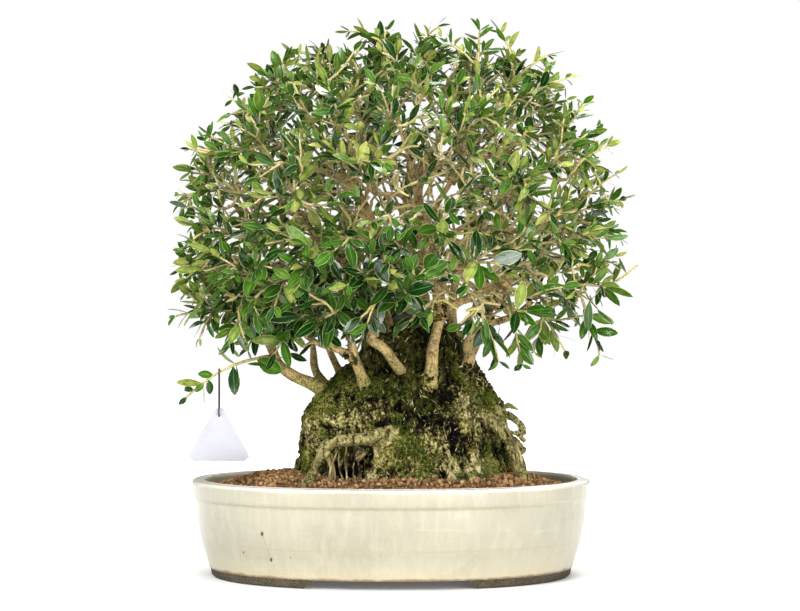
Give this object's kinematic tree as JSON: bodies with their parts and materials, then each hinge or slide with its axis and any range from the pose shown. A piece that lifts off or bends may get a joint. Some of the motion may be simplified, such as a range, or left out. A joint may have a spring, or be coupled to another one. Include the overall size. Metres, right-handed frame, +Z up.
{
  "type": "olive bonsai",
  "caption": "Potted miniature olive tree: a thick mossy stump with slender limbs and a domed leafy crown, in a shallow oval glazed pot with a blank hanging label.",
  "frame": {"origin": "on the surface the pot stands on, under the middle of the whole outline in X and Y", "axes": "+Z up from the feet to the crown's top; the pictured front looks along -Y; +X is to the right in the picture, along the oval pot's long side"},
  "size_m": [0.4647, 0.4186, 0.5515],
  "materials": {
    "glazed_clay": "gloss",
    "screen_plastic": "matte",
    "soil": "granular matte",
    "bark": "rough, mossy",
    "leaves": "satin above, matte below",
    "wire": "matte",
    "label_plastic": "satin"
  },
  "bodies": {
    "root": {"pot": "glazed_clay", "drain_screen_left": "screen_plastic", "drain_screen_right": "screen_plastic", "soil": "soil", "stump_and_limbs": "bark", "label_wire": "wire", "label": "label_plastic", "leafy_spray_01": "leaves", "leafy_spray_02": "leaves", "leafy_spray_03": "leaves", "leafy_spray_04": "leaves", "leafy_spray_05": "leaves", "leafy_spray_06": "leaves", "leafy_spray_07": "leaves", "leafy_spray_08": "leaves", "leafy_spray_09": "leaves", "leafy_spray_10": "leaves", "leafy_spray_11": "leaves", "leafy_spray_12": "leaves", "leafy_spray_13": "leaves", "leafy_spray_14": "leaves", "leafy_spray_15": "leaves", "leafy_spray_16": "leaves", "leafy_spray_17": "leaves", "leafy_spray_18": "leaves", "leafy_spray_19": "leaves", "leafy_spray_20": "leaves", "leafy_spray_21": "leaves", "leafy_spray_22": "leaves", "leafy_spray_23": "leaves", "leafy_spray_24": "leaves", "leafy_spray_25": "leaves", "leafy_spray_26": "leaves", "leafy_spray_27": "leaves", "leafy_spray_28": "leaves", "leafy_spray_29": "leaves", "leafy_spray_30": "leaves", "leafy_spray_31": "leaves", "leafy_spray_32": "leaves", "leafy_spray_33": "leaves", "leafy_spray_34": "leaves", "leafy_spray_35": "leaves", "leafy_spray_36": "leaves", "leafy_spray_37": "leaves", "leafy_spray_38": "leaves", "leafy_spray_39": "leaves", "leafy_spray_40": "leaves", "leafy_spray_41": "leaves", "leafy_spray_42": "leaves", "leafy_spray_43": "leaves"}
  },
  "joints": []
}
